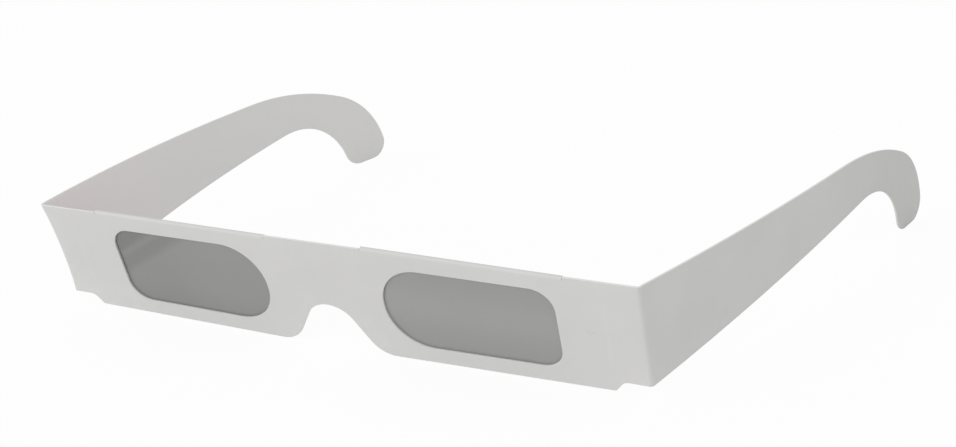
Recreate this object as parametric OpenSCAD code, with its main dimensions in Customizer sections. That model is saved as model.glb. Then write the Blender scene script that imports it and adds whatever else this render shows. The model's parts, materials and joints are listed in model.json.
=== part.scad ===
// Folding stereoscopic glasses of die-cut white card with grey polariser film.
// Millimetres, the glasses standing on a table as when set down opened: +Z up, +Y towards the wearer's
// ears, +X to the right as seen from the front. The origin lies on the table, under the middle of the nose
// cut-out. "left" and "right" are as seen from the front.

/* [Front] */
// Width over the outer faces of the two creases
front_w = 144; // [136:1:156]
// Height of the front from the lobes to the top edge
front_h = 28.1; // [27.5:0.1:34]
// Thickness of the card
card_t = 0.45; // [0.3:0.05:0.7]
// Angle by which the top edge leans forward of the lobes
lean = 17.2; // [8:0.1:24]

/* [Windows] */
// Width of each window
window_w = 39.3; // [32:0.1:42]
// Card left between the two windows
window_bridge = 28.7; // [26:0.1:34]
// Card left below each window
window_sill = 3.7; // [3:0.1:5]
// Card left above each window
window_top = 4; // [3.2:0.1:8]
// Corner radius of the windows beside the nose
window_r_nose = 9.9; // [4:0.1:10]
// Corner radius of the windows beside the creases
window_r_side = 5.1; // [3:0.1:9.5]

/* [Nose cut-out] */
// Height of the arch over the nose
nose_h = 11.6; // [8:0.1:14]
// Radius of the arch at its top
nose_r = 6.4; // [5:0.1:7]
// Steepness of the arch's flanks
nose_slope = 59; // [50:1:70]
// Radius where each flank runs into its lobe
lobe_r = 6.5; // [4:0.1:7]
// Angle by which the lower edge rises from the nose to the crease
rise_angle = 1; // [0:0.1:1.5]

/* [Crease] */
// Height by which the lower edge is cut back beside each crease
notch_h = 2.6; // [1.8:0.1:3]
// Length of that cut-back from the crease to the lobe
notch_w = 8; // [6:0.1:9]
// Steepness of the step from the lobe up to the cut-back
notch_slope = 53; // [40:1:60]
// Radius of the corner at the foot of that step
step_r = 0.7; // [0.4:0.1:1.5]
// Radius of the hollow at its top
notch_r = 2.2; // [1:0.1:2.5]
// Play between the rounded crease and the card that turns round it
crease_gap = 0.05; // [0.03:0.01:0.08]

/* [Flaps] */
// Depth of the fold's crease below the plain top edge
fold_drop = 0.55; // [0.5:0.05:0.8]
// Angle by which the left fold's crease rises towards the outer end
left_fold_angle = 0.5; // [-0.6:0.1:0.6]
// Angle by which the right fold's crease rises towards the outer end
right_fold_angle = -0.5; // [-0.6:0.1:0.6]
// Slit in the top edge at each end of the fold
fold_slit = 0.15; // [0.1:0.05:0.3]
// Card of each fold-over flap beyond its window, at the fold
flap_lip = 2.5; // [1.8:0.1:3.5]
// Height of the slanted shoulder at the flap's outer end
flap_shoulder = 3.6; // [2:0.1:6]
// Distance of the flap's free edge above the edge of the lobe
flap_short = 1; // [0.6:0.1:1.5]
// Overlap of the flap's window inside the window of the front
flap_peek = 0.2; // [0:0.05:0.5]
// Corner radius of the flap
flap_r = 2; // [0.8:0.1:3]

/* [Film] */
// Thickness of the polariser film, and of the glue round it
film_t = 0.25; // [0.15:0.01:0.4]
// Film held behind the card all round each window
film_lap = 1.6; // [1.2:0.1:1.8]
// Clearance between the film and the glue
glue_gap = 0.15; // [0.1:0.01:0.25]
// Distance of the glue from the edge of the flap
glue_inset = 0.3; // [0.2:0.05:0.4]

/* [Temples] */
// Droop of the top edge when the temple lies flat beside the front
droop_angle = 15.6; // [10:0.1:20]
// Straight length of the top edge
temple_straight = 81.4; // [70:0.1:95]
// Angle between the top and bottom edges of the temple
taper_angle = 7.6; // [6:0.1:9]
// Radius of the top edge where it starts to drop
crown_r = 93.5; // [80:0.5:110]
// Angle turned by that radius
crown_turn = 22; // [16:1:26]
// Radius of the back of the ear hook
back_r = 31; // [27:0.1:36]
// Angle of the back edge where it reaches the tip
back_turn = 67.5; // [62:0.5:78]
// Radius of the tip's rear corner
tip_r = 4.2; // [2.5:0.1:5]
// Straight edge across the tip
tip_w = 5.4; // [4:0.1:8]
// Radius of the tip's front corner
heel_r = 6.6; // [4:0.1:7.8]
// Radius of the hollow that sits over the ear
throat_r = 24; // [20:0.1:27]

/* [Stance] */
// Angle by which the left temple spreads outwards from straight back
left_splay_angle = -5.5; // [-12:0.1:16]
// Angle by which the right temple spreads outwards from straight back
right_splay_angle = 12.7; // [-12:0.1:16]
// Rise of the left temple's inward bow
left_bow = 5.5; // [1:0.1:8]
// Rise of the right temple's inward bow
right_bow = 2.1; // [1:0.1:8]

/* [Hidden] */
$fn = 96;

// the hinge line of each crease runs up the inner face of the card
crease_r = card_t;
hinge_x = front_w / 2 - card_t;
hinge_y = card_t;
crease_end = crease_r + crease_gap;
front_end = hinge_x - crease_end;

// each round edge is drawn this much small, which leaves a plain little flat at its ends and no sliver
seam = 0.004;

// layers behind the front card
flap_y = card_t + film_t;
stack_t = flap_y + card_t;

// windows
win_x0 = window_bridge / 2;
win_x1 = win_x0 + window_w;
win_z1 = front_h - window_top;

// flaps, and the middle of the crease that each is folded along
lobe_x = front_w / 2 - notch_w;
flap_x0 = win_x0 - flap_lip;
flap_x1 = win_x1 + flap_lip;
fold_x = (flap_x0 + flap_x1) / 2;
fold_z = front_h - fold_drop;
fold_len = flap_x1 - flap_x0;

// Closed outlines of straight and round edges. Each point is [x, y, r], anticlockwise. The edge from it
// to the next point is straight when r is 0, swells outwards with radius r, or is hollowed by radius -r.
module outline(pts) {
    n = len(pts);
    difference() {
        union() {
            polygon(corners(pts));
            for (i = [0:n - 1])
                if (pts[i][2] > 0) segment(pts[i], pts[(i + 1) % n], pts[i][2]);
        }
        for (i = [0:n - 1])
            if (pts[i][2] < 0) segment(pts[(i + 1) % n], pts[i], -pts[i][2]);
    }
}

// the slice of a circle of radius r that its chord from a to b cuts off on the right-hand side
module segment(a, b, r) {
    intersection() {
        translate(arc_centre(a, b, r)) circle(r - seam);
        polygon(arc_side(a, b, r));
    }
}

function corners(pts) = [for (p = pts) [p[0], p[1]]];
function along(a, b) = let (v = [b[0] - a[0], b[1] - a[1]]) v / norm(v);
function chord(a, b) = norm([b[0] - a[0], b[1] - a[1]]);
function right_of(u) = [u[1], -u[0]];
function arc_centre(a, b, r) = ([a[0], a[1]] + [b[0], b[1]]) / 2
    - sqrt(max(r * r - pow(chord(a, b) / 2, 2), 0)) * right_of(along(a, b));
// the side of the chord that the slice lies on, carried a little across the chord so that it merges
function arc_side(a, b, r) = let (u = along(a, b), o = right_of(u), k = min(0.1, chord(a, b) / 4),
    p = [a[0], a[1]], q = [b[0], b[1]]) [p, p + r * o, q + r * o, q, q - k * u - k * o, p + k * u - k * o];

// unit vector at angle a anticlockwise from +X, and the point at distance r along it from c
function dir(a) = [cos(a), sin(a)];
function at(c, r, a) = c + r * dir(a);
// a point of an outline with the radius of the edge that starts there
function edge(p, r = 0) = [p[0], p[1], r];
// the left half of an outline from its right half; the edge that closes the two has radius r
function flip(pts, r = 0) = [for (i = [len(pts) - 1:-1:0])
    [-pts[i][0], pts[i][1], i > 0 ? pts[i - 1][2] : r]];

// the rounds of a path: each inner point [x, y, r] becomes both ends of its round, and -r hollows it
function bends(path) = [for (i = [1:len(path) - 2], k = [0, 1])
    let (u = along(path[i - 1], path[i]), v = along(path[i], path[i + 1]), r = path[i][2],
        t = abs(r) * tan(acos(u * v) / 2), p = [path[i][0], path[i][1]])
    if (k == 0 || r != 0) k == 0 ? edge(p - t * u, r) : edge(p + t * v)];
// the same for a closed path
function all_bends(path) = bends(concat([path[len(path) - 1]], path, [path[0]]));

// nose arch: its centre, where it runs into the flank, and where the lobe's round reaches the table
nose_c = [0, nose_h - nose_r];
nose_t = at(nose_c, nose_r, 90 - nose_slope);
lobe_x0 = nose_t[0] + nose_t[1] / tan(nose_slope) + lobe_r * tan(nose_slope / 2);
// height of the lower edge, and the point on it from which the nose's flank rises
function lower_z(x) = (x - lobe_x0) * tan(rise_angle);
foot_x = (nose_t[0] + (nose_t[1] + lobe_x0 * tan(rise_angle)) / tan(nose_slope))
    / (1 + tan(rise_angle) / tan(nose_slope));
// step beside the crease
notch_z = lower_z(lobe_x) + notch_h;
crease_h = front_h - notch_z;

module front_outline() {
    half = bends([
        edge([0, nose_h]),
        edge(nose_t),
        edge([foot_x, lower_z(foot_x)], lobe_r),
        edge([lobe_x, lower_z(lobe_x)], step_r),
        edge([lobe_x + notch_h / tan(notch_slope), notch_z], -notch_r),
        edge([front_end, notch_z]),
        edge([front_end, front_h]),
        edge([0, front_h])
    ]);
    outline(concat(half, flip(half, -nose_r)));
}

module window(grow = 0) {
    x0 = win_x0 - grow;
    x1 = win_x1 + grow;
    z0 = lower_z(x0) + window_sill - grow;
    z1 = win_z1 + grow;
    h = z1 - lower_z(x1) - window_sill + grow;
    rn = min(window_r_nose + grow, h / 2 - 0.05);
    rs = min(window_r_side + grow, h / 2 - 0.05);
    outline(all_bends([
        edge([x0, z0], rn),
        edge([x1, z1 - h], rs),
        edge([x1, z1], rs),
        edge([x0, z1], rn)
    ]));
}

// turns a flat outline with the crease of its flap
module along_fold(angle) {
    translate([fold_x, fold_z]) rotate(angle) translate([-fold_x, -fold_z]) children();
}

// the part of the front's top edge that is folded over, with a slit at both ends
module fold_cut(angle) {
    along_fold(angle) translate([flap_x0 - fold_slit, fold_z])
        square([fold_len + 2 * fold_slit, 2 * fold_drop]);
}

module flap_outline(inset = 0) {
    x0 = flap_x0 + inset;
    x1 = flap_x1 - inset;
    xs = lobe_x - inset;
    low = flap_short + inset;
    z1 = fold_z - inset;
    outline(all_bends([
        edge([x0, lower_z(x0) + low], min(lobe_r, 4)),
        edge([xs, lower_z(xs) + low], flap_r),
        edge([xs, z1 - flap_shoulder]),
        edge([x1, z1]),
        edge([x0, z1])
    ]));
}

// stands a flat outline up: its Y becomes height, its thickness runs back from y0
module sheet(y0, t) {
    translate([0, y0 + t, 0]) rotate([90, 0, 0]) linear_extrude(t) children();
}

// leans the front about the edge of its lobes, which stays on the table
module stance() {
    rotate([lean, 0, 0]) children();
}

module side(s) {
    mirror([s < 0 ? 1 : 0, 0, 0]) children();
}

module front_panel() {
    color([0.82, 0.82, 0.81]) stance() sheet(0, card_t) difference() {
        front_outline();
        window();
        mirror([1, 0]) window();
        fold_cut(right_fold_angle);
        mirror([1, 0]) fold_cut(left_fold_angle);
    }
}

module flap(s, angle) {
    color([0.78, 0.78, 0.77]) stance() side(s) sheet(flap_y, card_t) difference() {
        along_fold(angle) flap_outline();
        window(-flap_peek);
    }
}

// half-round fold that joins the front to its flap along the crease
module flap_fold(s, angle) {
    r = stack_t / 2;
    color([0.88, 0.88, 0.87]) stance() side(s) translate([fold_x, r, fold_z]) rotate([0, 90 - angle, 0])
        linear_extrude(fold_len, center = true) difference() {
            circle(r);
            circle(r - card_t);
            translate([0, -r - 1]) square([r + 1, 2 * r + 2]);
        }
}

module film(grow = 0) {
    reach = film_lap + grow;
    x0 = win_x0 - reach;
    x1 = win_x1 + reach;
    low = window_sill - reach;
    z1 = win_z1 + reach;
    polygon([[x0, lower_z(x0) + low], [x1, lower_z(x1) + low], [x1, z1], [x0, z1]]);
}

module lens(s) {
    color([0.45, 0.46, 0.46, 0.6]) stance() side(s) sheet(card_t, film_t) film();
}

module glue(s, angle) {
    color([0.9, 0.88, 0.8]) stance() side(s) sheet(card_t, film_t) difference() {
        along_fold(angle) flap_outline(glue_inset);
        film(glue_gap);
    }
}

// the card's rounded bend: a web to the front and the round on which the temple turns
module crease(s) {
    color([0.7, 0.72, 0.74]) stance() side(s) translate([0, 0, notch_z]) linear_extrude(crease_h) union() {
        translate([hinge_x, hinge_y]) circle(crease_r);
        translate([front_end, 0]) square([hinge_x - front_end, card_t]);
    }
}

// Temple outline, lying flat: the hinge line is the Y axis, the crease's top corner at [0, 0] with the
// top edge running off to the right and drooping
top_dir = -droop_angle;
lower_dir = top_dir + taper_angle;
heel_dir = top_dir - 90;
crown_dir = top_dir + 90 - crown_turn;
tip_dir = top_dir + 90 - back_turn;
crease_foot = [0, -crease_h];

// from the start of the crown's round to the centre of the tip's rear corner
hook_step = crown_r * (dir(heel_dir) + dir(crown_dir)) + back_r * (dir(tip_dir) - dir(crown_dir))
    - tip_r * dir(tip_dir);
flat_reach = temple_straight * cos(top_dir) + hook_step[0] + tip_r;

// a bowed card reaches less far than a flat one; the straight part of the outline is that much shorter
function take_up(bow) = 8 * bow * bow / (3 * flat_reach * cos(top_dir));
// reach of the bowed temple from the hinge line to the back of the hook
function temple_reach(bow) = flat_reach - take_up(bow) * cos(top_dir);
// where the throat, touching the bottom edge, also touches the heel's circle
function throat_centre(heel_c) = let (
        u = dir(lower_dir),
        foot = crease_foot + throat_r * dir(lower_dir - 90),
        k = foot - heel_c
    ) foot - u * (k * u + sqrt(pow(k * u, 2) - k * k + pow(throat_r + heel_r, 2)));

// the card of the temple, bowed as part of a wide cylinder whose inner face starts on the hinge line
module temple(s, splay, bow) {
    crown_t = (temple_straight - take_up(bow)) * dir(top_dir);
    tip_c = crown_t + hook_step;
    heel_c = at(at(tip_c, tip_w, top_dir + 180), heel_r - tip_r, top_dir + 90);
    throat_c = throat_centre(heel_c);
    pts = [
        edge(at(crease_foot, crease_end / cos(lower_dir), lower_dir)),
        edge(at(throat_c, throat_r, lower_dir + 90)),
        edge(heel_c + heel_r / (heel_r + throat_r) * (throat_c - heel_c), heel_r),
        edge(at(heel_c, heel_r, heel_dir)),
        edge(at(tip_c, tip_r, heel_dir), tip_r),
        edge(at(tip_c, tip_r, tip_dir), back_r),
        edge(crown_t + crown_r * (dir(heel_dir) + dir(crown_dir)), crown_r),
        edge(crown_t),
        edge(at([0, 0], crease_end / cos(top_dir), top_dir))
    ];
    n = len(pts);
    color([0.8, 0.79, 0.78]) stance() side(s) translate([hinge_x, hinge_y, front_h])
        rotate([0, 0, 90 - splay]) difference() {
            union() {
                bowed(bow) polygon(corners(pts));
                for (i = [0:n - 1])
                    if (pts[i][2] > 0) intersection() {
                        bowed(bow) polygon(arc_side(pts[i], pts[(i + 1) % n], pts[i][2]));
                        across(bow, 1) translate(arc_centre(pts[i], pts[(i + 1) % n], pts[i][2]))
                            circle(pts[i][2] - seam);
                    }
            }
            across(bow, 1) translate(throat_c) circle(throat_r - seam);
        }
}

// runs a flat outline through the whole depth of the bow
module across(bow, more = 0) {
    translate([0, 1 + more, 0]) rotate([90, 0, 0]) linear_extrude(card_t + bow + 2 + 2 * more) children();
}

// an outline cut from the bowed card
module bowed(bow) {
    reach = temple_reach(bow);
    r = (reach * reach / 4 + bow * bow) / (2 * bow);
    intersection() {
        across(bow) children();
        translate([reach / 2, r - bow, 0]) difference() {
            cylinder(r = r + card_t, h = 2 * reach, center = true, $fn = 720);
            cylinder(r = r, h = 2 * reach + 2, center = true, $fn = 720);
        }
    }
}

front_panel();
flap(-1, left_fold_angle);  // left_flap
flap(1, right_fold_angle);  // right_flap
flap_fold(-1, left_fold_angle);  // left_flap_fold
flap_fold(1, right_fold_angle);  // right_flap_fold
lens(-1);  // left_lens
lens(1);  // right_lens
glue(-1, left_fold_angle);  // left_glue
glue(1, right_fold_angle);  // right_glue
crease(-1);  // left_crease
crease(1);  // right_crease
temple(-1, left_splay_angle, left_bow);  // left_temple
temple(1, right_splay_angle, right_bow);  // right_temple
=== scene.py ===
# %% [markdown]
# # Folding card glasses with grey polariser film
# The real thing is one die-cut sheet of white card. Two flaps fold back over the front and hold two pieces
# of grey film between the layers, and a temple is creased back from each end of the front. This lesson
# dresses the solids of those pieces: it rounds the cut edges, bends the creases as one unbroken sheet, and
# gives the card, the film and the glue the finish that they have in a plain studio.

# %% Load the solids
import json
import math

import bmesh
import bpy
from mathutils import Matrix, Vector


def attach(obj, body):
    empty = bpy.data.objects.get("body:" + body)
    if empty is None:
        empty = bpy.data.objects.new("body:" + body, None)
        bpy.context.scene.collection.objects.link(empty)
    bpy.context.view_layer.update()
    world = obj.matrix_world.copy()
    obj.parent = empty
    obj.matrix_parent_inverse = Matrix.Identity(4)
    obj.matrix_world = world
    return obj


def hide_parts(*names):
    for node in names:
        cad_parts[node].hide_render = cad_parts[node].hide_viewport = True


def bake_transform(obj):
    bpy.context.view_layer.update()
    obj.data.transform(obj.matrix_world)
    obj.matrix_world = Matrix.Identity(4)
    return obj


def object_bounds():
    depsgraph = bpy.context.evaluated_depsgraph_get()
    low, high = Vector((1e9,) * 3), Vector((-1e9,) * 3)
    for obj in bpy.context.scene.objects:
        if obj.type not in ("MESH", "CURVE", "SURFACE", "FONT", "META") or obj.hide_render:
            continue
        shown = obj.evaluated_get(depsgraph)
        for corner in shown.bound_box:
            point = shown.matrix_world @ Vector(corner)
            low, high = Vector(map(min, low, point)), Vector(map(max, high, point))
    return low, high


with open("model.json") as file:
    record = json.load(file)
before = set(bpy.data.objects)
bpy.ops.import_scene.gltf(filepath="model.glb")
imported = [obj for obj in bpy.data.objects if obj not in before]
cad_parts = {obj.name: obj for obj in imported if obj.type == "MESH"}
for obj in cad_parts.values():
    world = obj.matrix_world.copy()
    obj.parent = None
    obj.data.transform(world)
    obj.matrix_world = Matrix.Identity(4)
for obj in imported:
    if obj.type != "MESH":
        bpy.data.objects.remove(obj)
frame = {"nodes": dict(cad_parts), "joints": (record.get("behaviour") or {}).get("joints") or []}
cad_low, cad_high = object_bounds()
print("solids", sorted(frame["nodes"]))

# %% [markdown]
# ## Measures taken from the solids
# The front leans, so its lines are easiest to write in the front's own plane: X along it, Y through the
# card, Z up the card from the edge that stands on the table. The hinge axes give the lean. The boxes of the
# pieces give the rest, down to the thickness of the card.

# %% Measures
MM = 0.001
NEAR = 0.02 * MM

joints = {j["name"]: j for j in frame["joints"]}
hinge_axis = Vector(joints["right_temple_fold"]["axis"])
LEAN = math.atan2(-hinge_axis.y, hinge_axis.z)
to_panel = Matrix.Rotation(-LEAN, 4, "X")
from_panel = Matrix.Rotation(LEAN, 4, "X")
hinge = to_panel @ Vector(joints["right_temple_fold"]["pos_m"])


def panel_box(node):
    """Lowest and highest corner of a node, along the axes of the front's own plane."""
    points = [to_panel @ v.co for v in frame["nodes"][node].data.vertices]
    low = Vector([min(p[i] for p in points) for i in range(3)])
    high = Vector([max(p[i] for p in points) for i in range(3)])
    return low, high


front_low, front_high = panel_box("front_panel")
crease_low, crease_high = panel_box("right_crease")
CARD = front_high.y - front_low.y
print("lean", round(math.degrees(LEAN), 2), "deg, front", round((front_high.x - front_low.x) / MM, 2), "mm")
print("card", round(CARD / MM, 3), "mm thick")

# %% [markdown]
# ## Camera and picture settings
# The camera stands to the right of the glasses and a little above them, about a third of a metre from the
# front, and is rolled by less than three degrees. So short a distance gives the strong perspective of the
# picture. The lens is a little longer than a normal one, so that the glasses fill the frame.

# %% Camera
CAMERA_PLACE = Vector((162.81, -249.60, 131.95)) * MM
CAMERA_AZIMUTH = math.radians(27.139)
CAMERA_ELEVATION = math.radians(19.551)
CAMERA_ROLL = math.radians(-2.600)
LENS_MM = 56.384
SENSOR_MM = 36
CLIP_NEAR = 0.01
CLIP_FAR = 20

camera = bpy.data.objects.new("camera", bpy.data.cameras.new("camera"))
bpy.context.scene.collection.objects.link(camera)
camera.data.sensor_width = SENSOR_MM
camera.data.lens = LENS_MM
camera.data.clip_start = CLIP_NEAR
camera.data.clip_end = CLIP_FAR
turn = Matrix.Rotation(CAMERA_AZIMUTH, 4, "Z") @ Matrix.Rotation(math.pi / 2 - CAMERA_ELEVATION, 4, "X")
camera.matrix_world = Matrix.Translation(CAMERA_PLACE) @ turn @ Matrix.Rotation(CAMERA_ROLL, 4, "Z")
bpy.context.scene.camera = camera
bpy.context.scene.view_settings.view_transform = "Standard"
print("camera", round(CAMERA_PLACE.length / MM), "mm from the foot of the front, lens", LENS_MM, "mm")

# %% [markdown]
# ## Helpers for materials
# Every finish here is built from shader nodes. The helpers below make a node, set its values and wire it,
# so that each material reads as a short list of steps.


# %% Node helpers
def add(tree, kind, **values):
    """A new node; names that the node has are set on it, and the others are set on its input sockets."""
    made = tree.nodes.new(kind)
    for name, value in values.items():
        if hasattr(made, name):
            setattr(made, name, value)
        else:
            made.inputs[name.replace("_", " ")].default_value = value
    return made


def wire(tree, source, target):
    tree.links.new(source, target)


def maths(tree, operation, a, b=None):
    """One Math node. Each operand is a socket or a number."""
    made = tree.nodes.new("ShaderNodeMath")
    made.operation = operation
    for socket, value in zip(made.inputs, (a, b)):
        if isinstance(value, bpy.types.NodeSocket):
            wire(tree, value, socket)
        elif value is not None:
            socket.default_value = value
    return made.outputs[0]


def ramp(tree, value, low, high, start=0.0, end=1.0, smooth=True):
    """Carries a value from the range low..high to start..end, held at both ends."""
    made = tree.nodes.new("ShaderNodeMapRange")
    made.interpolation_type = "SMOOTHSTEP" if smooth else "LINEAR"
    wire(tree, value, made.inputs["Value"])
    for name, number in (("From Min", low), ("From Max", high), ("To Min", start), ("To Max", end)):
        made.inputs[name].default_value = number
    return made.outputs["Result"]


MIX_COLOURS = (6, 7)
MIX_RESULT = 2


def blend_colour(tree, share, a, b):
    """Mixes two colours. The share is a socket, and each colour is a socket or a plain colour. A Mix node
    also has sockets for numbers and vectors under the same names, so its colours go by their place."""
    made = tree.nodes.new("ShaderNodeMix")
    made.data_type = "RGBA"
    wire(tree, share, made.inputs["Factor"])
    for place, colour in zip(MIX_COLOURS, (a, b)):
        if isinstance(colour, bpy.types.NodeSocket):
            wire(tree, colour, made.inputs[place])
        else:
            made.inputs[place].default_value = (*colour, 1)
    return made.outputs[MIX_RESULT]


def split(tree, vector):
    """The outputs X, Y and Z of a vector socket."""
    made = tree.nodes.new("ShaderNodeSeparateXYZ")
    wire(tree, vector, made.inputs[0])
    return made.outputs


def noise(tree, vector, width, **values):
    """Noise with spots about one width across, from 0 to 1."""
    made = add(tree, "ShaderNodeTexNoise", Scale=1 / width, **values)
    wire(tree, vector, made.inputs["Vector"])
    return made.outputs["Fac"]


NOISE_LOW = 0.3
NOISE_HIGH = 0.7


def spread(tree, value, start=0.0, end=1.0, smooth=True):
    """Carries noise to start..end. Most of it lies in a narrow range round a half."""
    return ramp(tree, value, NOISE_LOW, NOISE_HIGH, start, end, smooth)


# %% [markdown]
# ## Groups and materials
# What several finishes share is a node group: it is built once, and each material places it with its own
# values. A finish is drawn on the sheet, so it reads the place on the object turned upright with the front.


# %% Group and material helpers
def new_group(name, inputs, outputs):
    """An empty node group with named sockets. Inputs are (name, kind, default)."""
    tree = bpy.data.node_groups.new(name, "ShaderNodeTree")
    for label, kind, default in inputs:
        socket = tree.interface.new_socket(label, in_out="INPUT", socket_type="NodeSocket" + kind)
        if default is not None:
            socket.default_value = default
    for label, kind in outputs:
        tree.interface.new_socket(label, in_out="OUTPUT", socket_type="NodeSocket" + kind)
    return tree, tree.nodes.new("NodeGroupInput").outputs, tree.nodes.new("NodeGroupOutput").inputs


def use(tree, group, vector):
    """Places a group in a material. It reads the pattern's place from vector."""
    made = tree.nodes.new("ShaderNodeGroup")
    made.node_tree = group
    wire(tree, vector, made.inputs["Vector"])
    return made.outputs


def new_material(name, **values):
    """A new material: it, its node tree and its Principled BSDF, whose inputs take the values."""
    material = bpy.data.materials.new(name)
    material.use_nodes = True
    surface = material.node_tree.nodes["Principled BSDF"]
    for label, value in values.items():
        surface.inputs[label.replace("_", " ")].default_value = value
    return material, material.node_tree, surface


def on_sheet(tree):
    """The plain texture coordinates, and the place turned so that X runs along the front and Z up it."""
    place = add(tree, "ShaderNodeTexCoord").outputs
    flat = add(tree, "ShaderNodeMapping", Rotation=(-LEAN, 0, 0))
    wire(tree, place["Object"], flat.inputs["Vector"])
    return place, flat.outputs[0]


# %% [markdown]
# ## The grain of the card
# Close up, white card is a mat of short fibres under a thin clay coating. It is smooth and nearly even, with
# fibres that run along the sheet, a soft mottle a centimetre or two across, and a few faint marks from
# handling. The fibres are noise that is stretched along the sheet, and the mottle is slow noise.

# %% Paper grain group
FIBRE_WIDTH = 0.22 * MM
FIBRE_STRETCH = 0.35
MOTTLE_WIDTH = 14 * MM
MOTTLE_RELIEF = 0.6
SCUFF_WIDTH = 9 * MM
SCUFF_START = 0.62
SCUFF_FULL = 0.78

grain, g_in, g_out = new_group(
    "paper_grain", [("Vector", "Vector", None)],
    [("Fibre", "Float"), ("Mottle", "Float"), ("Scuff", "Float"), ("Height", "Float")])
stretch = add(grain, "ShaderNodeMapping", Scale=(FIBRE_STRETCH, 1, 1))
wire(grain, g_in["Vector"], stretch.inputs["Vector"])
fibre = noise(grain, stretch.outputs[0], FIBRE_WIDTH, Detail=3.0, Roughness=0.6, Distortion=0.8)
mottle = noise(grain, g_in["Vector"], MOTTLE_WIDTH, Detail=2.0, Roughness=0.5)
scuff = noise(grain, g_in["Vector"], SCUFF_WIDTH, Detail=5.0, Roughness=0.62, Distortion=1.5)
wire(grain, fibre, g_out["Fibre"])
wire(grain, mottle, g_out["Mottle"])
wire(grain, ramp(grain, scuff, SCUFF_START, SCUFF_FULL), g_out["Scuff"])
wire(grain, maths(grain, "ADD", fibre, maths(grain, "MULTIPLY", mottle, MOTTLE_RELIEF)), g_out["Height"])
print("group", grain.name, "fibres", FIBRE_WIDTH / MM, "mm")

# %% [markdown]
# ## The cut edge
# The die leaves a raw edge: the coating ends, and the bare, slightly paler and warmer plies show. Each piece
# of card will carry an attribute named raw, which is 1 on its cut edges and 0 on the faces of the sheet.

# %% Cut edge group
PLY = 0.09 * MM
PLY_WARM = (0.70, 0.695, 0.675)
PLY_PALE = (0.78, 0.775, 0.755)

cut, c_in, c_out = new_group(
    "cut_edge", [("Vector", "Vector", None)], [("Colour", "Color"), ("Ply", "Float")])
plies = noise(cut, c_in["Vector"], PLY, Detail=2.0, Roughness=0.7)
wire(cut, blend_colour(cut, plies, PLY_WARM, PLY_PALE), c_out["Colour"])
wire(cut, plies, c_out["Ply"])
print("group", cut.name, "plies", PLY / MM, "mm")

# %% [markdown]
# ## The line that the flap presses into the front
# Behind the front, the outer end of each flap stops short of the crease. Once the glasses have been
# flattened and opened again, that end shows on the front as a faint upright line. Both ends of the line
# fade, so it is a narrow ramp across the sheet times a wide one up it.

# %% Press line group
PRESS_PLACE = 64 * MM
PRESS_WIDTH = 0.9 * MM
PRESS_BOTTOM = 6 * MM
PRESS_TOP = 24 * MM
PRESS_FADE = 3 * MM

press, p_in, p_out = new_group(
    "press_line",
    [("Vector", "Vector", None), ("Place", "Float", PRESS_PLACE), ("Width", "Float", PRESS_WIDTH),
     ("Bottom", "Float", PRESS_BOTTOM), ("Top", "Float", PRESS_TOP)],
    [("Line", "Float"), ("Step", "Float")])
at = split(press, p_in["Vector"])
across = maths(press, "DIVIDE", maths(press, "SUBTRACT", maths(press, "ABSOLUTE", at["X"]), p_in["Place"]),
               p_in["Width"])
within = maths(press, "MULTIPLY",
               ramp(press, maths(press, "SUBTRACT", at["Z"], p_in["Bottom"]), 0, PRESS_FADE),
               ramp(press, maths(press, "SUBTRACT", p_in["Top"], at["Z"]), 0, PRESS_FADE))
line = ramp(press, maths(press, "ABSOLUTE", across), 1.0, 0.0)
wire(press, maths(press, "MULTIPLY", line, within), p_out["Line"])
wire(press, maths(press, "MULTIPLY", ramp(press, across, -1.0, 1.0), within), p_out["Step"])
print("group", press.name, "at", round(PRESS_PLACE / MM, 1), "mm from the middle")

# %% [markdown]
# ## A rub mark
# One small grey mark shows beside the right window, like the rub of something dark against the card. It is
# an oval patch that noise breaks up.

# %% Rub mark group
RUB_PLACE = (61.5 * MM, 15.2 * MM)
RUB_LENGTH = 3.2 * MM
RUB_HEIGHT = 0.8 * MM
RUB_SPECK = 0.7 * MM
RUB_BREAK = (0.4, 0.65)

rub, r_in, r_out = new_group("rub_mark", [("Vector", "Vector", None)], [("Rub", "Float")])
at = split(rub, r_in["Vector"])
along = maths(rub, "DIVIDE", maths(rub, "SUBTRACT", at["X"], RUB_PLACE[0]), RUB_LENGTH)
up = maths(rub, "DIVIDE", maths(rub, "SUBTRACT", at["Z"], RUB_PLACE[1]), RUB_HEIGHT)
oval = maths(rub, "ADD", maths(rub, "MULTIPLY", along, along), maths(rub, "MULTIPLY", up, up))
broken = ramp(rub, noise(rub, r_in["Vector"], RUB_SPECK, Detail=2.0), *RUB_BREAK)
wire(rub, maths(rub, "MULTIPLY", ramp(rub, oval, 1.0, 0.0), broken), r_out["Rub"])
print("group", rub.name, "about", round(2 * RUB_LENGTH / MM, 1), "mm long")

# %% [markdown]
# ## The colours of the card
# The board is taken to be coated on the outside. The mottle moves the coated side between two close shades.
# The coated side is painted a little paler near the table, a painted light, and the right temple is painted
# darker at its far end, a painted shade. The inner side of the left temple is paler, and near the front it
# is painted paler still and faintly pink, a painted light that lifts the shade by the crease. The light of
# this scene is too plain to give these, so they are painted as colour.

# %% Card colours
COATED = (0.640, 0.637, 0.628)
COATED_SHADE = (0.622, 0.619, 0.610)
# painted light: the coated card is painted paler towards the table
LOW_PAINTED_LIGHT = (0.705, 0.702, 0.692)
LOW_PAINTED_LIGHT_SHARE = 0.5
LOW_PAINTED_LIGHT_BELOW = 16 * MM
UNCOATED = (0.724, 0.719, 0.710)
# painted light: near the front the inner side of the left temple is painted paler and faintly pink, lifting
# the shade by the crease
CREASE_PAINTED_LIGHT = (0.790, 0.748, 0.738)
CREASE_PAINTED_LIGHT_START = 10 * MM
CREASE_PAINTED_LIGHT_END = 65 * MM
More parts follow.
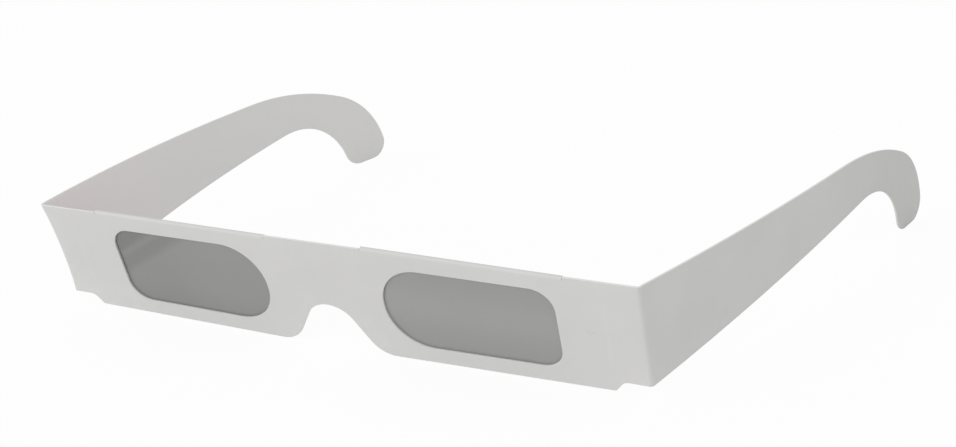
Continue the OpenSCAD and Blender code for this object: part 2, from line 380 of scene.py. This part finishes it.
# painted shade: the right temple is painted darker towards its far end
FAR_END_PAINTED_SHADE = (0.580, 0.577, 0.568)
FAR_END_SHADE_START = 60 * MM
FAR_END_SHADE_END = 110 * MM
SIDE_CHANGE = 0.1


def coated_colour(tree, place, fibres):
    colour = blend_colour(tree, spread(tree, fibres["Mottle"]), COATED_SHADE, COATED)
    # painted light: paler towards the table
    low_painted_light_share = ramp(tree, split(tree, place["Object"])["Z"], LOW_PAINTED_LIGHT_BELOW, 0, 0, LOW_PAINTED_LIGHT_SHARE)
    return blend_colour(tree, low_painted_light_share, colour, LOW_PAINTED_LIGHT)


def temple_colour(tree, place, flat, outside, inward, crease_light, far_shade):
    """A temple's two sides. inward is the way that its uncoated side looks. The next argument is the colour
    which that side takes towards the front, painted light that lifts the shade by the crease, and the last
    is the one which the whole temple takes at its far end, painted shade."""
    back = split(tree, flat)["Y"]
    side = add(tree, "ShaderNodeVectorMath", operation="DOT_PRODUCT")
    wire(tree, place["Normal"], side.inputs[0])
    side.inputs[1].default_value = inward
    # painted light by the crease, fading away from the front
    crease_light_share = ramp(tree, back, CREASE_PAINTED_LIGHT_START, CREASE_PAINTED_LIGHT_END, 1.0, 0.0)
    inside = blend_colour(tree, crease_light_share, UNCOATED, crease_light)
    which = ramp(tree, side.outputs["Value"], -SIDE_CHANGE, SIDE_CHANGE)
    colour = blend_colour(tree, which, outside, inside)
    # painted shade towards the far end of the temple
    return blend_colour(tree, ramp(tree, back, FAR_END_SHADE_START, FAR_END_SHADE_END), colour, far_shade) if far_shade else colour


print("coated card", COATED, "uncoated card", UNCOATED)

# %% [markdown]
# ## The card's finish
# One board is used throughout, so one function makes all its finishes. The grain moves the colour by a few
# parts in a hundred, as the eye sees on plain card, and the fibres raise it by about a fiftieth of a
# millimetre. A cut edge is rougher than the sheet, and its plies stand up further.

# %% Card finish
CARD_ROUGH = 0.62
FIBRE_ROUGH = 0.05
EDGE_ROUGH = 0.2
FIBRE_TONE = 0.05
SCUFF_TONE = 0.02
GRAIN_DARKER = 0.8
GRAIN_COLOUR = tuple(GRAIN_DARKER * part for part in COATED_SHADE)
GRAIN_DEPTH = 0.02 * MM
GRAIN_STRENGTH = 0.25
PLY_RELIEF = 3.0
PRESS_COLOUR = (1, 1, 1)
PRESS_TONE = 0.03
PRESS_RELIEF = 2.5
RUB_COLOUR = (0.1, 0.1, 0.1)
RUB_TONE = 0.07


def card_material(name, inward=None, crease_light=UNCOATED, far_shade=None, pressed=False):
    """White card. With inward it is a temple's, and pressed gives it the flap's line and the rub mark."""
    material, tree, surface = new_material(name, IOR=1.45, Specular_IOR_Level=0.35, Sheen_Weight=0.04,
                                           Sheen_Roughness=0.6)
    place, flat = on_sheet(tree)
    fibres = use(tree, grain, flat)
    edge = use(tree, cut, flat)
    raw = add(tree, "ShaderNodeAttribute", attribute_name="raw").outputs["Fac"]

    colour = coated_colour(tree, place, fibres)
    if inward:
        colour = temple_colour(tree, place, flat, colour, inward, crease_light, far_shade)
    dim = maths(tree, "ADD", maths(tree, "MULTIPLY", fibres["Fibre"], FIBRE_TONE),
                maths(tree, "MULTIPLY", fibres["Scuff"], SCUFF_TONE))
    colour = blend_colour(tree, dim, colour, GRAIN_COLOUR)
    colour = blend_colour(tree, raw, colour, edge["Colour"])
    standing_plies = maths(tree, "MULTIPLY", maths(tree, "MULTIPLY", raw, edge["Ply"]), PLY_RELIEF)
    height = maths(tree, "ADD", fibres["Height"], standing_plies)
    if pressed:
        line = use(tree, press, flat)
        paler = maths(tree, "MULTIPLY", line["Line"], PRESS_TONE)
        colour = blend_colour(tree, paler, colour, PRESS_COLOUR)
        height = maths(tree, "ADD", height, maths(tree, "MULTIPLY", line["Step"], PRESS_RELIEF))
        mark = maths(tree, "MULTIPLY", use(tree, rub, flat)["Rub"], RUB_TONE)
        colour = blend_colour(tree, mark, colour, RUB_COLOUR)

    sheet_rough = spread(tree, fibres["Fibre"], CARD_ROUGH - FIBRE_ROUGH, CARD_ROUGH + FIBRE_ROUGH)
    rough = maths(tree, "ADD", sheet_rough, maths(tree, "MULTIPLY", raw, EDGE_ROUGH))
    bump = add(tree, "ShaderNodeBump", Strength=GRAIN_STRENGTH, Distance=GRAIN_DEPTH)
    wire(tree, height, bump.inputs["Height"])
    wire(tree, colour, surface.inputs["Base Color"])
    wire(tree, rough, surface.inputs["Roughness"])
    wire(tree, bump.outputs["Normal"], surface.inputs["Normal"])
    return material


front_card = card_material("white_front", pressed=True)
back_card = card_material("white_back")
fold_card = card_material("white_fold")
# the left temple's inner side carries the painted light by the crease
left_card = card_material("white_left_temple", inward=(1, 0, 0), crease_light=CREASE_PAINTED_LIGHT)
# the right temple carries the painted shade at its far end
right_card = card_material("white_right_temple", inward=(-1, 0, 0), far_shade=FAR_END_PAINTED_SHADE)
print("card finishes", [m.name for m in (front_card, back_card, fold_card, left_card, right_card)])

# %% [markdown]
# ## The polariser film
# The film is a laminate of plastic sheets with a grey polariser between them. It shines a little and has a
# haze, so that it looks an even grey, and what lies behind it shows only faintly. Alpha stands for the share
# of light that the film keeps back, because so thin a sheet hardly bends what is seen through it.

# %% Film finish
FILM_COVER = 0.81
FILM_COVER_CHANGE = 0.01
FILM_ROUGH = (0.10, 0.16)
CLOUD_WIDTH = 25 * MM
CLOUD_TONE = 0.06
DRAW_LINE_WIDTH = 0.5 * MM
DRAW_LINE_STRETCH = 0.08
DRAW_LINE_DEPTH = 0.01 * MM


def film_material(name, dark, pale, painted_light):
    """Grey film between two shades. The last argument makes the share of the pale one, the painted light and
    shade on the film, from the node tree and the sockets with the place along the front and up it."""
    material, tree, surface = new_material(name, IOR=1.49)
    place, flat = on_sheet(tree)
    at = split(tree, flat)
    cloud = noise(tree, flat, CLOUD_WIDTH, Detail=1.0)
    drawn = add(tree, "ShaderNodeMapping", Scale=(DRAW_LINE_STRETCH, 1, 1))
    wire(tree, flat, drawn.inputs["Vector"])
    draw_line = noise(tree, drawn.outputs[0], DRAW_LINE_WIDTH, Detail=2.0)
    # the painted light and shade on the film, with a random cloud
    share = maths(tree, "ADD", painted_light(tree, at["X"], at["Z"]),
                  spread(tree, cloud, -CLOUD_TONE, CLOUD_TONE, smooth=False))
    wire(tree, blend_colour(tree, share, dark, pale), surface.inputs["Base Color"])
    wire(tree, spread(tree, draw_line, *FILM_ROUGH), surface.inputs["Roughness"])
    cover = spread(tree, cloud, FILM_COVER + FILM_COVER_CHANGE, FILM_COVER - FILM_COVER_CHANGE)
    wire(tree, cover, surface.inputs["Alpha"])
    bump = add(tree, "ShaderNodeBump", Strength=0.05, Distance=DRAW_LINE_DEPTH)
    wire(tree, draw_line, bump.inputs["Height"])
    wire(tree, bump.outputs["Normal"], surface.inputs["Normal"])
    return material


# %% [markdown]
# ## The two films
# The left film is darker in its upper outer corner, which one pale streak crosses: a painted view of the
# left temple behind it. It is a little darker along its lower edge, a painted shadow, and from there it is
# painted paler towards the nose. The right one is nearly even, and painted palest at half its height. These
# paler parts are painted reflection of what stands round the film. This scene has no room to mirror, so all
# of it is
# painted as shades of the film: each is a ramp over the place on the sheet, or across a slanting line on it.

# %% Left and right film
# the dark and the pale end of the painted light and shade on each film
LEFT_SHADES = ((0.204, 0.204, 0.197), (0.287, 0.288, 0.280))
RIGHT_SHADES = ((0.312, 0.315, 0.304), (0.342, 0.345, 0.334))
# painted view of the left temple behind the film: a darker upper outer corner past a slanting line, crossed
# by a pale streak
CORNER_SLOPE = 1.6
CORNER_START = -74.5 * MM
CORNER_END = -69.5 * MM
CORNER_SHARE = 0.57
STREAK_PLACE = -79.5 * MM
STREAK_WIDTH = 5 * MM
STREAK_SHARE = 0.3
# painted reflection: the left film grows paler towards the nose
NOSE_START = -48 * MM
NOSE_END = -25 * MM
NOSE_SHARE = 0.4
# painted shadow: the left film is darker along its lower edge
LOWER_EDGE_SHADOW_START = 3 * MM
LOWER_EDGE_SHADOW_END = 11 * MM
LOWER_EDGE_SHADOW_SHARE = 0.72
# painted reflection: the right film is painted palest at half its height
HALF_HEIGHT = 14.5 * MM
HALF_HEIGHT_REACH = 9 * MM


# all the painted light and shade on the left film
def left_film_painted_light(tree, along, up):
    slant = maths(tree, "SUBTRACT", along, maths(tree, "MULTIPLY", up, CORNER_SLOPE))
    from_streak = maths(tree, "ABSOLUTE", maths(tree, "SUBTRACT", slant, STREAK_PLACE))
    past_corner = maths(tree, "ADD", ramp(tree, slant, CORNER_START, CORNER_END, 0, CORNER_SHARE),
                        ramp(tree, from_streak, STREAK_WIDTH / 2, 0, 0, STREAK_SHARE))
    paler = maths(tree, "ADD", past_corner, ramp(tree, along, NOSE_START, NOSE_END, 0, NOSE_SHARE))
    return maths(tree, "MULTIPLY", paler,
                 ramp(tree, up, LOWER_EDGE_SHADOW_START, LOWER_EDGE_SHADOW_END, LOWER_EDGE_SHADOW_SHARE, 1.0))


def right_film_painted_light(tree, along, up):
    off_middle = maths(tree, "ABSOLUTE", maths(tree, "SUBTRACT", up, HALF_HEIGHT))
    return ramp(tree, off_middle, HALF_HEIGHT_REACH, 0)


left_film = film_material("film_left", *LEFT_SHADES, left_film_painted_light)
right_film = film_material("film_right", *RIGHT_SHADES, right_film_painted_light)
print("films", left_film.name, right_film.name)

# %% [markdown]
# ## The glue
# The glue between the layers only shows at the edges of the flaps, as a dull, slightly yellow line. The
# solids of the films and of the glue have the right shape already, so they stay and just get their finish.

# %% Glue, and the solids that stay
GLUE_SPOT = 1.2 * MM
GLUE_YELLOW = (0.58, 0.55, 0.47)
GLUE_PALE = (0.70, 0.68, 0.61)
GLUE_ROUGH = (0.35, 0.6)


def glue_material():
    material, tree, surface = new_material("dried_glue")
    spots = noise(tree, add(tree, "ShaderNodeTexCoord").outputs["Object"], GLUE_SPOT, Detail=3.0)
    wire(tree, blend_colour(tree, spots, GLUE_YELLOW, GLUE_PALE), surface.inputs["Base Color"])
    wire(tree, spread(tree, spots, *GLUE_ROUGH), surface.inputs["Roughness"])
    return material


glue = glue_material()
for side, film in (("left", left_film), ("right", right_film)):
    for node, finish in ((side + "_lens", film), (side + "_glue", glue)):
        slots = frame["nodes"][node].data.materials
        slots.clear()
        slots.append(finish)
        print(node, "is finished as", finish.name)

# %% [markdown]
# ## The waist of the left crease
# A crease in card isn't quite straight: the left one is drawn in by about a millimetre at half its height,
# and so are the edges of both sheets that meet there. The function below gives each point its share. It is
# used on the front, on the left temple and on the bend between them, so that all three still meet. The
# sheets first get lines across them, because a face can only follow the curve at its corners.

# %% Waist
WAIST = 1.15 * MM
WAIST_ALONG_FRONT = 5 * MM
WAIST_BACK = 2.6 * MM
WAIST_STEP = 0.5 * MM
WAIST_LINES_FRONT = 10
WAIST_LINES_BACK = 4
WAIST_ROW = 2 * MM


def smooth_share(share):
    share = min(max(share, 0), 1)
    return share * share * (3 - 2 * share)


def waist_share(at):
    """How much of the waist a point takes: all of it at the left crease, and none further along the front
    or back along the temple."""
    beside = smooth_share(1 - max(front_high.x + at.x, 0) / WAIST_ALONG_FRONT)
    return beside * max(1 - max(at.y, 0) / WAIST_BACK, 0) ** 2


def draw_lines(bm, starts, axis):
    """Cuts the faces that the waist moves along planes across one of the front's own axes."""
    for start in starts:
        faces = [f for f in bm.faces if any(waist_share(to_panel @ v.co) > 0 for v in f.verts)]
        parts = {*faces, *(e for f in faces for e in f.edges), *(v for f in faces for v in f.verts)}
        bmesh.ops.bisect_plane(bm, geom=list(parts), dist=NEAR / 10, plane_co=from_panel @ (axis * start),
                               plane_no=from_panel.to_3x3() @ axis)


def press_in(bm):
    """Draws the left crease in at half its height, on whatever part of it a mesh has."""
    low, high = crease_low.z, crease_high.z
    along = [k * WAIST_STEP - front_high.x for k in range(WAIST_LINES_FRONT, 0, -1)]
    back = [k * WAIST_STEP + crease_high.y for k in range(WAIST_LINES_BACK, 0, -1)]
    rows = [k * WAIST_ROW + low for k in range(int((high - low) / WAIST_ROW) + 1)]
    draw_lines(bm, along, Vector((1, 0, 0)))
    draw_lines(bm, back, Vector((0, 1, 0)))
    draw_lines(bm, rows, Vector((0, 0, 1)))
    for v in bm.verts:
        at = to_panel @ v.co
        height = (2 * at.z - low - high) / (high - low)
        at.x += WAIST * waist_share(at) * max(1 - height ** 2, 0)
        v.co = from_panel @ at


crease_height = crease_high.z - crease_low.z
print("waist", round(WAIST / MM, 2), "mm on a crease", round(crease_height / MM, 2), "mm high")

# %% [markdown]
# ## Turning a mesh into a piece
# Every new piece ends in the same way. Its faces are told apart as sheet or cut edge, its flat sheets are
# shaded flat, so that one big face has no false shading, and its bends are shaded smooth. Then the piece
# takes the place of its node.

# %% Finished pieces
FLAT_SHEET = 0.9999
CORNER_ANGLE = math.radians(24)


def finish_piece(bm, name, material, node, is_cut):
    """Turns a bmesh into the piece that stands for a node. is_cut tells the faces that the die cut by their
    normal along the front's own axes."""
    raw = bm.faces.layers.float.new("raw")
    bm.normal_update()
    for face in bm.faces:
        normal = to_panel.to_3x3() @ face.normal
        face.smooth = abs(normal.y) < FLAT_SHEET
        face[raw] = float(is_cut(normal))
    for edge in bm.edges:
        edge.smooth = not edge.is_manifold or edge.calc_face_angle() < CORNER_ANGLE
    mesh = bpy.data.meshes.new(name)
    bm.to_mesh(mesh)
    bm.free()
    mesh.materials.append(material)
    piece = bpy.data.objects.new(name, mesh)
    bpy.context.scene.collection.objects.link(piece)
    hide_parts(node)
    print(name, len(mesh.vertices), "points", len(mesh.polygons), "faces")
    return piece


# %% [markdown]
# ## Rounding the cut edges
# A die cuts the card so that its edges are crisp but not sharp: each is rolled over by about a twentieth of
# a millimetre. The solid of the piece is copied, its loose triangles are welded and its flat faces joined,
# and then every free edge is bevelled. The edges where the sheet goes on into a bend stay as they are.

# %% Card pieces from the solids
CUT_ROUND = 0.05 * MM
CUT_ROUND_STEPS = 2
WELD = 0.012 * MM
FLAT_WITHIN = math.radians(0.5)
EDGE_ANGLE = math.radians(50)


def card_piece(node, name, material, is_seam, is_cut):
    """A copy of a card solid with its free edges rounded. is_seam says which points lie where the sheet
    runs on into another piece, and is_cut which ways a cut edge looks."""
    bm = bmesh.new()
    bm.from_mesh(frame["nodes"][node].data)
    bmesh.ops.remove_doubles(bm, verts=bm.verts, dist=WELD)
    bmesh.ops.dissolve_limit(bm, angle_limit=FLAT_WITHIN, verts=bm.verts, edges=bm.edges,
                             use_dissolve_boundaries=False)
    free = [e for e in bm.edges if e.is_manifold and e.calc_face_angle() > EDGE_ANGLE
            and not all(is_seam(v.co) for v in e.verts)]
    bmesh.ops.bevel(bm, geom=free, offset=CUT_ROUND, offset_type="OFFSET", segments=CUT_ROUND_STEPS,
                    profile=0.5, affect="EDGES", material=-1, clamp_overlap=True)
    press_in(bm)
    return finish_piece(bm, name, material, node, is_cut)


# %% [markdown]
# ## Where the sheet runs on
# The front runs on into a crease at each end and into a flap at each fold on its top edge. Points near
# those lines are seams. They are found from the solids of the folds and from the hinge lines.

# %% Seams and cut faces
SEAM_REACH = 0.8 * MM
SEAM_OVERRUN = 0.01
SHEET_FACE = 0.8


def fold_line(side):
    """The crease that a flap is folded along, as its inner and its outer end on the front's outer face."""
    points = [to_panel @ v.co for v in frame["nodes"][side + "_flap_fold"].data.vertices]
    middle = sum(p.x for p in points) / len(points)
    ends = [min((p for p in points if (abs(p.x) > abs(middle)) == outer), key=lambda p: p.z)
            for outer in (False, True)]
    return [Vector((p.x, 0, p.z)) for p in ends]


def fold_seam(point):
    """Whether a point lies on the crease of either flap, on any layer of the card."""
    at = to_panel @ point
    inner, outer = fold_line("left" if at.x < 0 else "right")
    share = (at.x - inner.x) / (outer.x - inner.x)
    return -SEAM_OVERRUN < share < 1 + SEAM_OVERRUN and abs(at.z - inner.lerp(outer, share).z) < NEAR


def front_seam(point):
    return abs((to_panel @ point).x) > front_high.x - NEAR or fold_seam(point)


def from_hinge(at):
    """How far a point is from the hinge line of the nearer temple."""
    return math.hypot(abs(at.x) - hinge.x, at.y - hinge.y)


def temple_seam(point):
    return from_hinge(to_panel @ point) < SEAM_REACH


def beside_sheet(normal):
    """The sheets of the front and of the flaps look along Y, so a cut edge looks another way."""
    return abs(normal.y) < SHEET_FACE


def beside_temple(normal):
    return abs(normal.x) < SHEET_FACE


for side in ("left", "right"):
    print(side, "fold line, mm", [tuple(round(part / MM, 2) for part in end) for end in fold_line(side)])

# %% [markdown]
# ## The front, the flaps and the temples
# These are the panels of the blank. One stroke of the die cuts them all, so they share the board and the
# kind of edge, and one loop makes both sides. The flaps are glued to the front and stay with it, while each
# temple moves by itself.

# %% Front, flaps and temples
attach(card_piece("front_panel", "front_card", front_card, front_seam, beside_sheet), "front")
for side, material in (("left", left_card), ("right", right_card)):
    flap = card_piece(side + "_flap", side + "_flap_card", back_card, fold_seam, beside_sheet)
    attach(flap, "front")
    temple = card_piece(side + "_temple", side + "_temple_card", material, temple_seam,
                        beside_temple)
    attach(temple, side + "_temple")

# %% [markdown]
# ## Folds on the top edge
# A fold is the same sheet turned round a line. It starts as the cut section of the card at the top edge of
# the front and is spun by half a turn, so that it joins the front and the flap without a step.

# %% Top folds
FOLD_STEPS = 48
END_FACE = 0.6


def section(bm, corners):
    """One four-sided section of the sheet."""
    return bm.faces.new([bm.verts.new(from_panel @ Vector(c)) for c in corners])


def top_fold(side):
    inner, outer = fold_line(side)
    radius = panel_box(side + "_flap")[1].y / 2
    through = Vector((0, CARD, 0))
    bm = bmesh.new()
    face = section(bm, [inner, outer, outer + through, inner + through])
    line = from_panel.to_3x3() @ (outer - inner) * (1 if outer.x > 0 else -1)
    bmesh.ops.spin(bm, geom=[face, *face.verts, *face.edges],
                   cent=from_panel @ (inner + Vector((0, radius, 0))), axis=line.normalized(),
                   angle=-math.pi, steps=FOLD_STEPS, use_merge=False)
    bmesh.ops.recalc_face_normals(bm, faces=bm.faces)
    length = (outer - inner).length
    print(side, "fold", round(length / MM, 1), "mm long, radius", round(radius / MM, 3), "mm")
    return finish_piece(bm, side + "_top_fold", fold_card, side + "_flap_fold",
                        lambda normal: abs(normal.x) > END_FACE)


for side in ("left", "right"):
    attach(top_fold(side), "front")

# %% [markdown]
# ## Creases
# A crease is made in the same way, but it has to end exactly where the temple's card begins, and it moves.
# So the round is spun through the angle between the two sheets, and the small miss that is left at its four
# corners is shared out along it.

# %% Creases
CREASE_STEPS = 24
OUTER_FACE_REACH = 0.6 * MM


def temple_start(side, sign):
    """Where the temple's card begins: the bottom and top corners of its outer and of its inner face, and
    the way that its outer face looks. The outer corners lie further from the hinge line."""
    mesh = frame["nodes"][side + "_temple"].data
    corners = {}
    for v in mesh.vertices:
        at = to_panel @ v.co
        if from_hinge(at) < SEAM_REACH:
            corners[from_hinge(at) > OUTER_FACE_REACH, at.z > (crease_low.z + crease_high.z) / 2] = at
    top = corners[True, True]
    looks = [to_panel.to_3x3() @ f.normal for f in mesh.polygons
             if any((to_panel @ mesh.vertices[i].co - top).length < NEAR for i in f.vertices)]
    out = max(looks, key=lambda normal: sign * normal.x)
    return corners, Vector((out.x, out.y, 0)).normalized()


def crease_bend(side, sign, material):
    """The card turned from the front to the temple, on a round that meets both of them in line."""
    corners, out = temple_start(side, sign)
    x0 = sign * front_high.x
    low, high = crease_low.z, front_high.z
    centre = corners[True, True] - out * ((corners[True, True].x - x0) / out.x)
    centre.z = 0
    angle = math.acos(-out.y)
    print(side, "crease", round(math.degrees(angle), 1), "deg, radius", round(centre.y / MM, 2), "mm")
    bm = bmesh.new()
    face = section(bm, [(x0, 0, low), (x0, 0, high), (x0, CARD, high), (x0, CARD, low)])
    bmesh.ops.spin(bm, geom=[face, *face.verts, *face.edges], cent=from_panel @ centre,
                   axis=from_panel.to_3x3() @ Vector((0, 0, 1)), angle=sign * angle, steps=CREASE_STEPS)

    spun = Matrix.Rotation(sign * angle, 3, "Z")
    miss = {}
    for (outer, top), corner in corners.items():
        start = Vector((x0, 0 if outer else CARD, high if top else low))
        miss[outer, top] = corner - centre - spun @ (start - centre)
    for v in bm.verts:
        at = to_panel @ v.co
        spoke = at - centre
        share = math.atan2(sign * spoke.x, -spoke.y) / angle
        outer = math.hypot(spoke.x, spoke.y) > centre.y - CARD / 2
        v.co = from_panel @ (at + miss[outer, at.z > (low + high) / 2] * smooth_share(share))
    bmesh.ops.recalc_face_normals(bm, faces=bm.faces)
    press_in(bm)
    piece = finish_piece(bm, side + "_crease_bend", material, side + "_crease",
                         lambda normal: abs(normal.z) > END_FACE)
    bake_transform(piece)


for side, sign, material in (("left", -1, left_card), ("right", 1, right_card)):
    crease_bend(side, sign, material)

# %% [markdown]
# ## Floor
# The glasses stand on white. The floor is pale and keeps their soft shadow. To the camera, and in the film,
# it looks white by its own light, while other rays meet it as matt paint, so that it throws back no more
# light than a real floor.

# %% Floor
FLOOR_SIZE = 3.0
FLOOR_WHITE = 0.94
FLOOR_SPECKLE = 25 * MM
FLOOR_GREY = (0.86, 0.86, 0.86)
FLOOR_PALE = (0.90, 0.90, 0.90)


def floor_material():
    material = bpy.data.materials.new("pale_floor")
    material.use_nodes = True
    tree = material.node_tree
    tree.nodes.clear()
    speckle = noise(tree, add(tree, "ShaderNodeTexCoord").outputs["Object"], FLOOR_SPECKLE)
    matt = add(tree, "ShaderNodeBsdfDiffuse")
    wire(tree, blend_colour(tree, speckle, FLOOR_GREY, FLOOR_PALE), matt.inputs["Color"])
    glow = add(tree, "ShaderNodeEmission", Strength=1.0)
    ray = add(tree, "ShaderNodeLightPath").outputs
    seen = maths(tree, "MAXIMUM", ray["Is Camera Ray"],
                 maths(tree, "MAXIMUM", ray["Is Glossy Ray"], ray["Is Transmission Ray"]))
    both = add(tree, "ShaderNodeMixShader")
    wire(tree, maths(tree, "MULTIPLY", seen, FLOOR_WHITE), both.inputs[0])
    wire(tree, matt.outputs[0], both.inputs[1])
    wire(tree, glow.outputs[0], both.inputs[2])
    wire(tree, both.outputs[0], add(tree, "ShaderNodeOutputMaterial").inputs["Surface"])
    return material


floor_bm = bmesh.new()
bmesh.ops.create_grid(floor_bm, x_segments=1, y_segments=1, size=FLOOR_SIZE / 2)
bmesh.ops.translate(floor_bm, verts=floor_bm.verts, vec=(0, 0, cad_low.z - NEAR))
floor_mesh = bpy.data.meshes.new("floor")
floor_bm.to_mesh(floor_mesh)
floor_bm.free()
floor = bpy.data.objects.new("floor", floor_mesh)
bpy.context.scene.collection.objects.link(floor)
floor.data.materials.append(floor_material())
print("floor", FLOOR_SIZE, "m wide")

# %% [markdown]
# ## Surroundings
# Most of the light is an even white all round, as in a light tent. It is a little weaker than the white that
# the camera sees, so that the card doesn't come out paler than its colours are written.

# %% Surroundings
SKY_LIGHT = 0.82
WHITE = (1, 1, 1, 1)

world = bpy.data.worlds.new("studio")
bpy.context.scene.world = world
world.use_nodes = True
tree = world.node_tree
tree.nodes.clear()
soft = add(tree, "ShaderNodeBackground", Strength=SKY_LIGHT, Color=WHITE)
white = add(tree, "ShaderNodeBackground", Strength=1.0, Color=WHITE)
ray = add(tree, "ShaderNodeLightPath").outputs
both = add(tree, "ShaderNodeMixShader")
wire(tree, maths(tree, "MAXIMUM", ray["Is Camera Ray"], ray["Is Transmission Ray"]), both.inputs[0])
wire(tree, soft.outputs[0], both.inputs[1])
wire(tree, white.outputs[0], both.inputs[2])
wire(tree, both.outputs[0], add(tree, "ShaderNodeOutputWorld").inputs["Surface"])
print("sky light", SKY_LIGHT)

# %% [markdown]
# ## Lamp
# One large soft lamp stands in front, on the left. It makes the front a little lighter than the outside of
# the right temple, which is what tells the two planes apart.


# %% Lamp
def soft_box(name, azimuth, elevation, distance, size, watts):
    """A square lamp that looks at the glasses. Azimuth 0 is in front of them, and 90 is on their right."""
    a, e = math.radians(azimuth), math.radians(elevation)
    back = Vector((math.sin(a) * math.cos(e), -math.cos(a) * math.cos(e), math.sin(e)))
    lamp = bpy.data.objects.new(name, bpy.data.lights.new(name, "AREA"))
    lamp.data.size = size
    lamp.data.energy = watts
    place = (cad_low + cad_high) / 2 + back * distance
    lamp.matrix_world = Matrix.Translation(place) @ back.to_track_quat("Z", "Y").to_matrix().to_4x4()
    bpy.context.scene.collection.objects.link(lamp)


soft_box("front_lamp", azimuth=-25, elevation=22, distance=1.2, size=0.9, watts=4.0)
print("lamps", len(bpy.data.lights))
